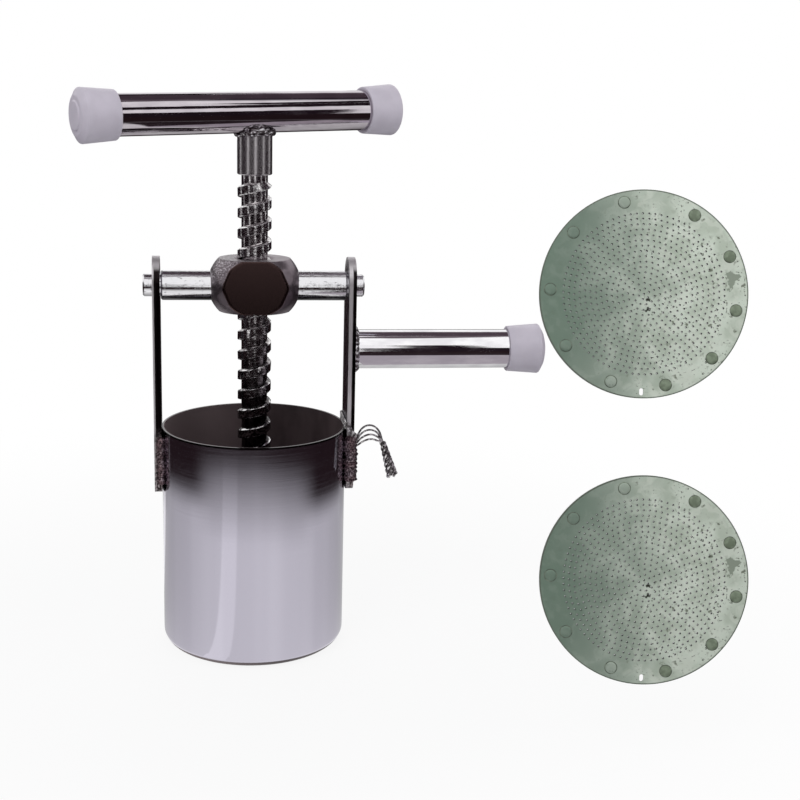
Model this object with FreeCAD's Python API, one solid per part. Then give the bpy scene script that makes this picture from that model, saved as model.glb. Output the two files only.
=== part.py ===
import FreeCAD, Part
import math
import os

# A hand-turned snack press in stainless steel. Millimetres, +Z up.
# The origin is the centre of the outlet in the barrel's floor. X runs along the yoke's pivot
# line, with the side handle on +X, and the two loose dies stand in front, towards -Y.

V = FreeCAD.Vector
UP = V(0, 0, 1)
ALONG_X = V(1, 0, 0)
ALONG_Y = V(0, 1, 0)

# Barrel: a drawn cup whose floor is cut out, so that a narrow lip is left to carry a die
barrel_radius = 50.0
barrel_wall = 1.2
barrel_height = 123.0
barrel_corner_radius = 7.0
outlet_radius = 41.0

# Side arms: flat bar, welded to the outside of the barrel, round at both ends
arm_width = 25.0
arm_thickness = 4.0
arm_overlap = 35.5
arm_above_pivot = 15.5
arm_bottom_corner = 6.0
pivot_above_rim = 77.0

# Yoke: a ball-shaped nut block with a crossbar on each side, turned down to a journal
ball_diameter = 47.0
block_height = 31.0
block_depth = 34.0
crossbar_diameter = 16.0
crossbar_socket_depth = 8.0
crossbar_shoulder_gap = 0.5
crossbar_chamfer = 0.8
journal_diameter = 12.0
journal_clearance = 0.12
journal_stick_out = 5.0

# Power screw: the threaded length is a plain bar of the thread's outer diameter, with a neck
# of its root diameter at each end
thread_major_diameter = 18.0
thread_root_diameter = 14.0
thread_clearance = 0.06
thread_runout = 4.0
shank_diameter = 18.5
shank_length = 21.4
wound_out = 43.5

# Plunger: a pressed cup that is carried by the tip of the screw and doesn't turn with it
plunger_clearance = 0.8
plunger_floor = 2.5
plunger_wall = 1.5
plunger_rim_height = 10.0
plunger_edge_chamfer = 2.5
plunger_inside_chamfer = 1.0
plunger_die_gap = 1.0
hub_diameter = 30.0
hub_height = 18.0
tip_diameter = 12.0
tip_clearance = 0.15
tip_groove_diameter = 9.0
running_gap = 0.05
washer_thickness = 2.0
retaining_pin_diameter = 4.0
retaining_pin_play = 0.3
retaining_pin_inset = 0.2
neck_gap = 0.5

# Handles: one size of tube for the turning handle and the side handle, with plastic caps
tube_diameter = 21.3
tube_wall = 1.6
tee_angle = 23.0
tee_tilt = 1.3
tee_reach_left = 97.5
tee_reach_right = 85.5
side_handle_below_pivot = 35.0
side_handle_reach = 106.5
cap_length = 20.0
cap_socket_depth = 14.0
cap_mouth_diameter = 25.0
cap_flare_diameter = 27.6
cap_chamfer_length = 2.4
cap_face_diameter = 19.5
cap_button_diameter = 15.0
cap_button_height = 0.8

# The gap left between pieces that are pressed, welded or pushed together
fit_clearance = 0.02

# Weld beads
tee_bead = 2.2
tee_bead_below_axis = 4.3
side_bead = 2.6
arm_bead = 2.4
arm_bead_inset = 4.0

# Tie wire: soft steel wire looped round the right arm above the rim, its tail twisted
wire_diameter = 1.2
wire_slack = 0.25
wire_above_rim = 1.6
wire_slope = 6.0
wire_crest_out = 6.5
wire_crest_rise = 2.8
wire_knot_out = 17.5
wire_knot_drop = 4.0
tail_diameter = 3.2
tail_length = 20.0
tail_lean = 17.0

# Dies: a perforated sheet, spot-welded to a backing ring
die_clearance = 0.8
die_sheet = 1.0
die_ring_thickness = 1.5
die_ring_width = 8.5
die_border = 11.7
die_hole_rings = 5
die_hole_width = 1.6
die_key_inset = 3.0
die_key_width = 2.4
die_key_length = 4.0
die_lean = 13.4
die_turn = 8.8
upper_die_right = 171.8
upper_die_forward = 135.5
upper_die_height = 217.7
lower_die_right = 170.7
lower_die_forward = 166.1
lower_die_height = 89.9

# Heights that follow from the sizes above
pivot_z = barrel_height + pivot_above_rim
block_top_z = pivot_z + block_height / 2
shank_bottom_z = block_top_z + wound_out
tee_z = shank_bottom_z + shank_length + tube_diameter / 2
side_handle_z = pivot_z - side_handle_below_pivot
arm_inner_x = barrel_radius
arm_outer_x = barrel_radius + arm_thickness

# A die drops in until its edge meets the curve inside the barrel's corner
inner_corner_radius = barrel_corner_radius - barrel_wall
die_radius = barrel_radius - barrel_wall - die_clearance
die_field_radius = die_radius - die_border
die_key_radius = die_radius - die_key_inset
die_overhang = die_radius - (barrel_radius - barrel_corner_radius)
die_seat_z = barrel_corner_radius - math.sqrt(inner_corner_radius ** 2 - max(0.0, die_overhang) ** 2)
die_top_z = die_seat_z + die_sheet + die_ring_thickness
upper_die_centre = V(upper_die_right, -upper_die_forward, upper_die_height)
lower_die_centre = V(lower_die_right, -lower_die_forward, lower_die_height)

# The plunger stops just above that die when the shank meets the block
plunger_z = die_top_z + plunger_die_gap + wound_out
plunger_top_z = plunger_z + plunger_floor
hub_top_z = plunger_top_z + hub_height
tip_z = plunger_top_z + washer_thickness + 2 * running_gap
retaining_pin_z = plunger_top_z + hub_height / 2
retaining_pin_x = (tip_groove_diameter + retaining_pin_diameter) / 2 + tip_clearance


def cylinder(radius, length, base=V(0, 0, 0), axis=UP):
    return Part.makeCylinder(radius, length, base, axis)


def box(low, high):
    size = high - low
    return Part.makeBox(size.x, size.y, size.z, low)


def outline(points):
    """A closed flat wire through the points, in order."""
    return Part.makePolygon(points + [points[0]])


def revolve_profile(points):
    """The solid that the closed outline in the XZ plane makes round the Z axis."""
    return Part.Face(outline(points)).revolve(V(0, 0, 0), UP, 360)


def arc_edge(centre, radius, start, end):
    """An arc in the XZ plane, between two angles in degrees, from +X towards +Z."""
    def at(angle):
        turn = math.radians(angle)
        return centre + V(radius * math.cos(turn), 0, radius * math.sin(turn))

    return Part.Arc(at(start), at((start + end) / 2), at(end)).toShape()


def line(start, end):
    return Part.LineSegment(start, end).toShape()


def barrel():
    """A drawn cup of one wall thickness, with a rounded corner, and the outlet cut in its floor."""
    inside = barrel_radius - barrel_wall
    corner_x = barrel_radius - barrel_corner_radius
    corner = V(corner_x, 0, barrel_corner_radius)
    edges = [
        line(V(outlet_radius, 0, 0), V(corner_x, 0, 0)),
        arc_edge(corner, barrel_corner_radius, -90, 0),
        line(V(barrel_radius, 0, barrel_corner_radius), V(barrel_radius, 0, barrel_height)),
        line(V(barrel_radius, 0, barrel_height), V(inside, 0, barrel_height)),
        line(V(inside, 0, barrel_height), V(inside, 0, barrel_corner_radius)),
        arc_edge(corner, inner_corner_radius, 0, -90),
        line(V(corner_x, 0, barrel_wall), V(outlet_radius, 0, barrel_wall)),
        line(V(outlet_radius, 0, barrel_wall), V(outlet_radius, 0, 0)),
    ]
    return Part.Face(Part.Wire(edges)).revolve(V(0, 0, 0), UP, 360)


def side_arm(side):
    """Flat bar against the barrel's side, with a half-round top and the journal's hole."""
    half = arm_width / 2
    inner = side * arm_inner_x
    top_centre = pivot_z + arm_above_pivot - half
    bottom = barrel_height - arm_overlap
    corner = arm_bottom_corner

    def round_end(centre_y, centre_z, radius, start, end):
        def at(angle):
            turn = math.radians(angle)
            return V(inner, centre_y + radius * math.cos(turn), centre_z + radius * math.sin(turn))

        return Part.Arc(at(start), at((start + end) / 2), at(end)).toShape()

    edges = [
        line(V(inner, corner - half, bottom), V(inner, half - corner, bottom)),
        round_end(half - corner, bottom + corner, corner, -90, 0),
        line(V(inner, half, bottom + corner), V(inner, half, top_centre)),
        round_end(0, top_centre, half, 0, 180),
        line(V(inner, -half, top_centre), V(inner, -half, bottom + corner)),
        round_end(corner - half, bottom + corner, corner, 180, 270),
    ]
    bar = Part.Face(Part.Wire(edges)).extrude(V(side * arm_thickness, 0, 0))
    hole_start = V(inner - side, 0, pivot_z)
    hole = cylinder(journal_diameter / 2 + journal_clearance, arm_thickness + 2, hole_start, V(side, 0, 0))
    return bar.cut(hole)


def arm_welds():
    """Four beads that fill the gaps between the flat bars and the round barrel."""
    bottom = barrel_height - arm_overlap + arm_bottom_corner
    top = barrel_height - arm_bead_inset
    half = arm_width / 2
    wall = cylinder(barrel_radius + fit_clearance, barrel_height + 2, V(0, 0, -1))
    beads = []
    for side in (-1, 1):
        bar = box(V(min(side * arm_inner_x, side * arm_outer_x), -half, 0),
                  V(max(side * arm_inner_x, side * arm_outer_x), half, pivot_z))
        for front in (-1, 1):
            section = [
                V(side * (arm_inner_x - fit_clearance), front * (half - 2 * arm_bead), bottom),
                V(side * (arm_inner_x - fit_clearance), front * (half + fit_clearance), bottom),
                V(side * (arm_inner_x + arm_bead / 2), front * (half + fit_clearance), bottom),
                V(side * (arm_inner_x - arm_bead / 2), front * (half + arm_bead), bottom),
                V(side * (arm_inner_x - 2 * arm_bead), front * (half + arm_bead), bottom),
                V(side * (arm_inner_x - 2 * arm_bead), front * (half - 2 * arm_bead), bottom),
            ]
            bead = Part.Face(outline(section)).extrude(V(0, 0, top - bottom))
            beads.append(bead.cut(wall).cut(bar))
    return beads


def nut_block():
    """A ball with flats on four sides, bored for the screw and socketed for the crossbars."""
    ball = Part.makeSphere(ball_diameter / 2, V(0, 0, pivot_z))
    reach = ball_diameter
    flats = box(V(-reach, -block_depth / 2, pivot_z - block_height / 2),
                V(reach, block_depth / 2, block_top_z))
    block = ball.common(flats)
    bore = thread_major_diameter / 2 + thread_clearance
    block = block.cut(cylinder(bore, 2 * reach, V(0, 0, pivot_z - reach)))
    socket_x = ball_diameter / 2 - crossbar_socket_depth
    for side in (-1, 1):
        start = V(side * socket_x, 0, pivot_z)
        block = block.cut(cylinder(crossbar_diameter / 2 + fit_clearance, reach, start, V(side, 0, 0)))
    return block


def trunnion(side):
    """A crossbar seated in the block, turned down to the journal that runs in the arm."""
    start = ball_diameter / 2 - crossbar_socket_depth
    shoulder = arm_inner_x - crossbar_shoulder_gap
    end = arm_outer_x + journal_stick_out
    thick = crossbar_diameter / 2
    thin = journal_diameter / 2
    bar = revolve_profile([
        V(0, 0, start),
        V(thick, 0, start),
        V(thick, 0, shoulder - crossbar_chamfer),
        V(thick - crossbar_chamfer, 0, shoulder),
        V(thin, 0, shoulder),
        V(thin, 0, end - crossbar_chamfer),
        V(thin - crossbar_chamfer, 0, end),
        V(0, 0, end),
    ])
    bar.rotate(V(0, 0, 0), ALONG_Y, 90 * side)
    bar.translate(V(0, 0, pivot_z))
    return bar


def tee_axis():
    """The handle tube's direction. It is welded a little out of square, its right end high."""
    turn = math.radians(tee_angle)
    tilt = math.radians(tee_tilt)
    return V(math.cos(turn) * math.cos(tilt), math.sin(turn) * math.cos(tilt), math.sin(tilt))


def power_screw():
    """Grooved tip, threaded length and plain shank, coped to fit under the handle tube."""
    crest = thread_major_diameter / 2
    root = thread_root_diameter / 2
    tip = tip_diameter / 2
    groove = tip_groove_diameter / 2
    groove_half = retaining_pin_diameter / 2 + retaining_pin_play
    neck_z = hub_top_z + neck_gap
    shank = shank_diameter / 2
    bar = revolve_profile([
        V(0, 0, tip_z),
        V(tip, 0, tip_z),
        V(tip, 0, retaining_pin_z - groove_half),
        V(groove, 0, retaining_pin_z - groove_half),
        V(groove, 0, retaining_pin_z + groove_half),
        V(tip, 0, retaining_pin_z + groove_half),
        V(tip, 0, neck_z),
        V(root, 0, neck_z),
        V(root, 0, neck_z + thread_runout),
        V(crest, 0, neck_z + thread_runout),
        V(crest, 0, shank_bottom_z - thread_runout),
        V(root, 0, shank_bottom_z - thread_runout),
        V(root, 0, shank_bottom_z),
        V(shank, 0, shank_bottom_z),
        V(shank, 0, tee_z),
        V(0, 0, tee_z),
    ])
    cope_reach = tube_diameter
    cope = cylinder(tube_diameter / 2 + fit_clearance, 2 * cope_reach,
                    V(0, 0, tee_z) - tee_axis() * cope_reach, tee_axis())
    return bar.cut(cope)


def thrust_washer():
    radius = tip_diameter / 2 - tip_clearance
    return cylinder(radius, washer_thickness, V(0, 0, plunger_top_z + running_gap))


def plunger_plate():
    """The shallow cup that pushes the dough, its edge eased so that it can't catch the barrel."""
    radius = barrel_radius - barrel_wall - plunger_clearance
    inside = radius - plunger_wall
    plate = revolve_profile([
        V(0, 0, 0),
        V(radius - plunger_edge_chamfer, 0, 0),
        V(radius, 0, plunger_edge_chamfer),
        V(radius, 0, plunger_rim_height),
        V(inside, 0, plunger_rim_height),
        V(inside, 0, plunger_floor + plunger_inside_chamfer),
        V(inside - plunger_inside_chamfer, 0, plunger_floor),
        V(0, 0, plunger_floor),
    ])
    plate.translate(V(0, 0, plunger_z))
    return plate


def retaining_pin(side):
    """A pin that lies across the hub, beside the tip, in the tip's groove."""
    outer_edge = retaining_pin_x + retaining_pin_diameter / 2
    half = math.sqrt((hub_diameter / 2) ** 2 - outer_edge ** 2) - retaining_pin_inset
    start = V(side * retaining_pin_x, -half, retaining_pin_z)
    return cylinder(retaining_pin_diameter / 2, 2 * half, start, ALONG_Y)


def plunger_hub():
    hub = cylinder(hub_diameter / 2, hub_height, V(0, 0, plunger_top_z))
    hub = hub.cut(cylinder(tip_diameter / 2 + tip_clearance, hub_height, V(0, 0, plunger_top_z)))
    for side in (-1, 1):
        start = V(side * retaining_pin_x, -hub_diameter, retaining_pin_z)
        drilled = retaining_pin_diameter / 2 + fit_clearance
        hub = hub.cut(cylinder(drilled, 2 * hub_diameter, start, ALONG_Y))
    return hub


def retaining_pins():
    return [retaining_pin(side) for side in (-1, 1)]


def tube(length):
    outside = cylinder(tube_diameter / 2, length)
    return outside.cut(cylinder(tube_diameter / 2 - tube_wall, length))


def handle_cap():
    """A moulded ferrule cap: its mouth at z = 0, flared towards a chamfered, buttoned end."""
    mouth = cap_mouth_diameter / 2
    bore = tube_diameter / 2 + fit_clearance
    return revolve_profile([
        V(bore, 0, 0),
        V(mouth, 0, 0),
        V(cap_flare_diameter / 2, 0, cap_length - cap_chamfer_length),
        V(cap_face_diameter / 2, 0, cap_length),
        V(cap_button_diameter / 2, 0, cap_length),
        V(cap_button_diameter / 2 - cap_button_height / 2, 0, cap_length + cap_button_height),
        V(0, 0, cap_length + cap_button_height),
        V(0, 0, cap_socket_depth),
        V(bore, 0, cap_socket_depth),
    ])


def along(shape, start, direction):
    """Lays a shape made up the Z axis along a direction, from a start point."""
    shape.Placement = FreeCAD.Placement(start, FreeCAD.Rotation(UP, direction))
    return shape


def tee_tube_end(reach):
    """Distance from the screw's axis to the end of the tube inside its cap."""
    return reach - cap_length - cap_button_height + cap_socket_depth


def tee_handle_tube():
    left = tee_tube_end(tee_reach_left)
    right = tee_tube_end(tee_reach_right)
    return along(tube(left + right), V(0, 0, tee_z) - tee_axis() * left, tee_axis())


def tee_handle_cap(side):
    reach = tee_reach_right if side > 0 else tee_reach_left
    mouth = tee_tube_end(reach) - cap_socket_depth
    direction = tee_axis() * side
    return along(handle_cap(), V(0, 0, tee_z) + direction * mouth, direction)


def tee_weld():
    """The bead in the corner between the shank and the underside of the handle tube."""
    height = tube_diameter
    reach = tube_diameter
    start = V(0, 0, tee_z) - tee_axis() * reach
    bead = cylinder(shank_diameter / 2 + tee_bead, height, V(0, 0, tee_z - tee_bead_below_axis - height))
    bead = bead.common(cylinder(tube_diameter / 2 + tee_bead, 2 * reach, start, tee_axis()))
    bead = bead.cut(cylinder(tube_diameter / 2 + fit_clearance, 2 * reach, start, tee_axis()))
    return bead.cut(cylinder(shank_diameter / 2 + fit_clearance, height * 2, V(0, 0, tee_z - 2 * height)))


def side_tube_end():
    return arm_outer_x + side_handle_reach - cap_length - cap_button_height + cap_socket_depth


def side_handle_tube():
    return along(tube(side_tube_end() - arm_outer_x), V(arm_outer_x, 0, side_handle_z), ALONG_X)


def side_handle_cap():
    mouth = side_tube_end() - cap_socket_depth
    return along(handle_cap(), V(mouth, 0, side_handle_z), ALONG_X)


def side_handle_weld():
    bore = tube_diameter / 2 + fit_clearance
    bead = revolve_profile([
        V(bore, 0, 0),
        V(min(bore + side_bead, arm_width / 2), 0, 0),
        V(bore + side_bead * 0.6, 0, side_bead * 0.7),
        V(bore, 0, side_bead),
    ])
    return along(bead, V(arm_outer_x, 0, side_handle_z), ALONG_X)


def bent_wire(points, radius):
    """Round wire along straight runs, bent sharply, so that the runs meet in mitres."""
    mitred = 1
    section = Part.Wire(Part.makeCircle(radius, points[0], points[1] - points[0]))
    return Part.makePolygon(points).makePipeShell([section], True, True, mitred)


def tie_wire():
    """A loop round the right arm, sloping down outwards, then a hoop out to a twisted tail."""
    radius = wire_diameter / 2
    out = radius + wire_slack
    inner_z = barrel_height + wire_above_rim
    outer_z = inner_z - wire_slope
    inner_x = arm_inner_x - out
    outer_x = arm_outer_x + out
    edge_y = arm_width / 2 + out
    leave_y = -arm_width / 4
    knot = V(outer_x + wire_knot_out, leave_y, outer_z - wire_knot_drop)
    wire = bent_wire([
        V(outer_x, leave_y + 3 * wire_diameter, outer_z),
        V(outer_x, edge_y, outer_z),
        V(inner_x, edge_y, inner_z),
        V(inner_x, -edge_y, inner_z),
        V(outer_x, -edge_y, outer_z),
        V(outer_x, leave_y, outer_z),
        V(outer_x + wire_crest_out, leave_y, outer_z + wire_crest_rise),
        knot,
    ], radius)
    lean = math.radians(tail_lean)
    down = V(math.sin(lean), 0, -math.cos(lean))
    tail = Part.makeCone(tail_diameter / 2, tail_diameter / 4, tail_length, knot - down * radius, down)
    return wire.fuse(tail)


def die_holes(low, high):
    """The perforated field: rings of holes about a centre hole, equally spaced along each ring."""
    spacing = die_field_radius / die_hole_rings
    holes = []
    for ring in range(die_hole_rings + 1):
        count = max(1, 6 * ring)
        for index in range(count):
            turn = 2 * math.pi * index / count
            centre = V(ring * spacing * math.cos(turn), ring * spacing * math.sin(turn), low)
            corners = []
            for corner in range(6):
                spoke = turn + math.pi * corner / 3
                corners.append(centre + V(math.cos(spoke), math.sin(spoke), 0) * (die_hole_width / 2))
            holes.append(Part.Face(outline(corners)).extrude(V(0, 0, high - low)))
    return holes


def die_key_slot(low, high):
    """The small oval hole near the edge of both pieces."""
    half = (die_key_length - die_key_width) / 2
    slots = []
    for end in (-1, 1):
        slots.append(cylinder(die_key_width / 2, high - low, V(0, end * half - die_key_radius, low)))
    middle = box(V(-die_key_width / 2, -die_key_radius - half, low),
                 V(die_key_width / 2, -die_key_radius + half, high))
    return middle.fuse(slots)


def face_forward(shape, centre):
    """Turns a die made flat, face up, to look forward with its top leaning back, and places it."""
    shape.rotate(V(0, 0, 0), ALONG_X, 90 - die_lean)
    shape.rotate(V(0, 0, 0), UP, -die_turn)
    shape.translate(centre)
    return shape


def die_plate(centre):
    plate = cylinder(die_radius, die_sheet, V(0, 0, -die_sheet))
    plate = plate.cut(Part.makeCompound(die_holes(-2 * die_sheet, die_sheet)))
    plate = plate.cut(die_key_slot(-2 * die_sheet, die_sheet))
    return face_forward(plate, centre)


def die_ring(centre):
    bottom = -die_sheet - die_ring_thickness
    ring = cylinder(die_radius, die_ring_thickness, V(0, 0, bottom))
    ring = ring.cut(cylinder(die_radius - die_ring_width, die_ring_thickness, V(0, 0, bottom)))
    ring = ring.cut(die_key_slot(2 * bottom, 0))
    return face_forward(ring, centre)


def save(name, shapes):
    solids = shapes if isinstance(shapes, list) else [shapes]
    solids = [solid for shape in solids for solid in shape.Solids]
    shape = solids[0] if len(solids) == 1 else Part.makeCompound(solids)
    shape.exportStep(os.path.join("parts", name + ".step"))
    print(name, len(solids), "solid(s)", round(sum(solid.Volume for solid in solids), 2), "mm3")


os.makedirs("parts", exist_ok=True)
save("barrel", barrel())
save("left_arm", side_arm(-1))
save("right_arm", side_arm(1))
save("arm_welds", arm_welds())
save("nut_block", nut_block())
save("left_trunnion", trunnion(-1))
save("right_trunnion", trunnion(1))
save("power_screw", power_screw())
save("thrust_washer", thrust_washer())
save("plunger_plate", plunger_plate())
save("plunger_hub", plunger_hub())
save("retaining_pins", retaining_pins())
save("tee_handle_tube", tee_handle_tube())
save("tee_handle_cap_left", tee_handle_cap(-1))
save("tee_handle_cap_right", tee_handle_cap(1))
save("tee_weld", tee_weld())
save("side_handle_tube", side_handle_tube())
save("side_handle_cap", side_handle_cap())
save("side_handle_weld", side_handle_weld())
save("tie_wire", tie_wire())
save("upper_die_plate", die_plate(upper_die_centre))
save("upper_die_ring", die_ring(upper_die_centre))
save("lower_die_plate", die_plate(lower_die_centre))
save("lower_die_ring", die_ring(lower_die_centre))
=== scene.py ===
import math

import bmesh
import bpy
from mathutils import Matrix, Vector, kdtree, noise


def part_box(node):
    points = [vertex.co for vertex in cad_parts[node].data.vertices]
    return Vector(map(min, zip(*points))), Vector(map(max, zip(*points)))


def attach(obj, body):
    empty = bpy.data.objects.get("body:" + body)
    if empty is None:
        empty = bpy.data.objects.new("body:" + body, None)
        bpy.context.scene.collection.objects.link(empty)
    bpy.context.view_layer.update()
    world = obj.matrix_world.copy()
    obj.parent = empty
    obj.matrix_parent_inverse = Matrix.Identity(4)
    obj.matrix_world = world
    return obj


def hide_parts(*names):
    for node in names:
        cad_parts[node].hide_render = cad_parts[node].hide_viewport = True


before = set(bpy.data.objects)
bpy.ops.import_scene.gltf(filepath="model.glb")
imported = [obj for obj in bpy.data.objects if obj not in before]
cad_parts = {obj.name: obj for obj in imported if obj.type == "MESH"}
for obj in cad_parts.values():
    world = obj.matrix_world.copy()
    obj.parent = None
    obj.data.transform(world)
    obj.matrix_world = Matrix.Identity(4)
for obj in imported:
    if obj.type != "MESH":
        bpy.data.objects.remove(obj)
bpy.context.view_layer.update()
MM = 0.001

# Camera. It stands in front of the press and above it, with a 63 mm lens, and is rolled a little,
# as the photograph is.
camera_at = Vector((-35.0, -748.6, 316.5)) * MM
yaw = math.radians(8.79)
tilt = math.radians(13.41)
roll = math.radians(-1.55)
level = Vector((math.cos(yaw), -math.sin(yaw), 0))
ahead = Vector((math.sin(yaw), math.cos(yaw), 0))
look = ahead * math.cos(tilt) - Vector((0, 0, math.sin(tilt)))
upright = ahead * math.sin(tilt) + Vector((0, 0, math.cos(tilt)))
camera_right = level * math.cos(roll) - upright * math.sin(roll)
camera_up = level * math.sin(roll) + upright * math.cos(roll)
lens = bpy.data.cameras.new("camera")
lens.lens = 63
lens.sensor_width = 36
camera = bpy.data.objects.new("camera", lens)
camera.matrix_world = Matrix((camera_right, camera_up, -look)).transposed().to_4x4()
camera.location = camera_at
bpy.context.scene.collection.objects.link(camera)
bpy.context.scene.camera = camera
bpy.context.scene.view_settings.view_transform = "Standard"


# Studio. A pale floor under a plain white room, three soft lamps, and dark cards that stand round
# the press. Polished steel shows little but what it reflects, so the cards give it its dark bands.
def linear(hex_colour):
    """The linear colour that an sRGB hex value names."""
    shares = [int(hex_colour[i:i + 2], 16) / 255 for i in (1, 3, 5)]
    lights = [s / 12.92 if s <= 0.04045 else ((s + 0.055) / 1.055) ** 2.4 for s in shares]
    return (*lights, 1.0)


def add(tree, kind, feeds=None, **settings):
    """Adds a node to a tree, with its settings, and a value, a hex colour or a link for each input."""
    made = tree.nodes.new(kind)
    for name, value in settings.items():
        setattr(made, name, value)
    for name, value in (feeds or {}).items():
        if isinstance(value, bpy.types.NodeSocket):
            tree.links.new(value, made.inputs[name])
        else:
            made.inputs[name].default_value = linear(value) if isinstance(value, str) else value
    return made


def seen_directly(tree):
    """1 for the rays that show the room to the camera, also by way of metal or glass."""
    rays = add(tree, "ShaderNodeLightPath")
    either = add(tree, "ShaderNodeMath", {0: rays.outputs["Is Camera Ray"],
                                          1: rays.outputs["Is Glossy Ray"]}, operation="MAXIMUM")
    return add(tree, "ShaderNodeMath", {0: either.outputs[0], 1: rays.outputs["Is Transmission Ray"]},
               operation="MAXIMUM").outputs[0]


def new_mesh(name, points, faces, smooth=True):
    """An object with a mesh of these points and faces, linked to the scene."""
    mesh = bpy.data.meshes.new(name)
    mesh.from_pydata([tuple(p) for p in points], [], faces)
    mesh.validate()
    mesh.polygons.foreach_set("use_smooth", [smooth] * len(mesh.polygons))
    made = bpy.data.objects.new(name, mesh)
    bpy.context.scene.collection.objects.link(made)
    return made


room_light = 0.6
world = bpy.data.worlds.new("white_room")
world.use_nodes = True
world.node_tree.nodes.clear()
room_level = add(world.node_tree, "ShaderNodeMapRange",
                 {"Value": seen_directly(world.node_tree), "To Min": room_light, "To Max": 1.0})
room = add(world.node_tree, "ShaderNodeBackground",
           {"Color": (1, 1, 1, 1), "Strength": room_level.outputs[0]})
add(world.node_tree, "ShaderNodeOutputWorld", {"Surface": room.outputs[0]})
bpy.context.scene.world = world

floor_reach = 4.0
corner_signs = ((-1, -1), (1, -1), (1, 1), (-1, 1))
floor_corners = [(x * floor_reach, y * floor_reach, -0.2 * MM) for x, y in corner_signs]
floor = new_mesh("floor", floor_corners, [(0, 1, 2, 3)])
floor_paper = bpy.data.materials.new("matt_white_paper")
floor_paper.use_nodes = True
tree = floor_paper.node_tree
tree.nodes.clear()
from_press = add(tree, "ShaderNodeVectorMath", {0: add(tree, "ShaderNodeTexCoord").outputs["Object"]},
                 operation="LENGTH").outputs["Value"]
whiteness = add(tree, "ShaderNodeMapRange", {"Value": from_press, "From Min": 0.12, "From Max": 0.5,
                                             "To Min": 0.9, "To Max": 1.0}, interpolation_type="SMOOTHSTEP")
paper_share = add(tree, "ShaderNodeMath", {0: seen_directly(tree), 1: whiteness.outputs[0]},
                  operation="MULTIPLY")
lit = add(tree, "ShaderNodeBsdfDiffuse", {"Color": "#cdcdcf"})
plain_white = add(tree, "ShaderNodeEmission", {"Color": (1, 1, 1, 1), "Strength": 1.0})
paper = add(tree, "ShaderNodeMixShader", {0: paper_share.outputs[0], 1: lit.outputs[0],
                                          2: plain_white.outputs[0]})
add(tree, "ShaderNodeOutputMaterial", {"Surface": paper.outputs[0]})
floor.data.materials.append(floor_paper)

lamp_width = 0.9
lamps_aim = Vector((0.04, 0, 0.15))
for name, place, power in (("key", (-0.7, -1.0, 1.3), 10.0), ("fill", (1.1, -0.7, 0.7), 4.0),
                           ("back", (0.2, 1.2, 1.2), 7.0)):
    lamp = bpy.data.lights.new(name, "AREA")
    lamp.energy = power
    lamp.size = lamp_width
    lamp_object = bpy.data.objects.new(name, lamp)
    lamp_object.location = place
    lamp_object.rotation_euler = (lamps_aim - Vector(place)).to_track_quat("-Z", "Y").to_euler()
    lamp_object.visible_glossy = False
    bpy.context.scene.collection.objects.link(lamp_object)


def card(name, points, faces, finish):
    """A card that only reflections see."""
    made = new_mesh(name, points, faces)
    made.data.materials.append(finish)
    made.visible_camera = False
    made.visible_diffuse = False
    made.visible_shadow = False


def card_finish(name, colour):
    """A material that gives off one plain colour, and its emission node."""
    material = bpy.data.materials.new(name)
    material.use_nodes = True
    material.node_tree.nodes.clear()
    glow = add(material.node_tree, "ShaderNodeEmission", {"Color": colour, "Strength": 1.0})
    add(material.node_tree, "ShaderNodeOutputMaterial", {"Surface": glow.outputs[0]})
    return material, glow


def ring_of_points(radius, height, start, end, steps):
    """Points on a circle round the press, between two angles in degrees from the front, clockwise."""
    turns = [math.radians(start + (end - start) * i / steps) for i in range(steps + 1)]
    return [(-radius * math.sin(a), -radius * math.cos(a), height) for a in turns]


def band_card(name, inner, outer, low, high, start, end, finish):
    """Part of a ring: flat where low equals high, upright where inner equals outer."""
    steps = max(4, int(abs(end - start) / 6))
    points = ring_of_points(inner, low, start, end, steps) + ring_of_points(outer, high, start, end, steps)
    faces = [(i, i + 1, i + steps + 2, i + steps + 1) for i in range(steps)]
    card(name, points, faces, finish)


# The floor card is white where it begins and turns dark further out: slowly in front and behind,
# quickly at the sides, and a little sooner on the right. Its white is duller towards the back, but
# for one streak on the left.
floor_card_paper, floor_glow = card_finish("floor_card_paper", "#201519")
tree = floor_card_paper.node_tree
spot = add(tree, "ShaderNodeSeparateXYZ", {"Vector": add(tree, "ShaderNodeTexCoord").outputs["Object"]})
flat_spot = add(tree, "ShaderNodeCombineXYZ", {"X": spot.outputs["X"], "Y": spot.outputs["Y"]})
reach = add(tree, "ShaderNodeVectorMath", {0: flat_spot.outputs[0]}, operation="LENGTH").outputs["Value"]
back_share = add(tree, "ShaderNodeMath", {0: spot.outputs["Y"], 1: reach}, operation="DIVIDE").outputs[0]
past_side = add(tree, "ShaderNodeMapRange", {"Value": back_share, "From Min": -0.75, "From Max": -0.15},
                interpolation_type="SMOOTHSTEP")
before_back = add(tree, "ShaderNodeMapRange", {"Value": back_share, "From Min": 0.75, "From Max": 0.55},
                  interpolation_type="SMOOTHSTEP")
sideways = add(tree, "ShaderNodeMath", {0: past_side.outputs[0], 1: before_back.outputs[0]},
               operation="MULTIPLY")
side_share = add(tree, "ShaderNodeMath", {0: spot.outputs["X"], 1: reach}, operation="DIVIDE").outputs[0]
right_pull = add(tree, "ShaderNodeMapRange", {"Value": side_share, "To Min": 1.0, "To Max": 1.1}).outputs[0]
pulled_reach = add(tree, "ShaderNodeMath", {0: reach, 1: right_pull}, operation="MULTIPLY").outputs[0]
gradual = add(tree, "ShaderNodeMapRange", {"Value": pulled_reach, "From Min": 0.25, "From Max": 0.465})
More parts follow.
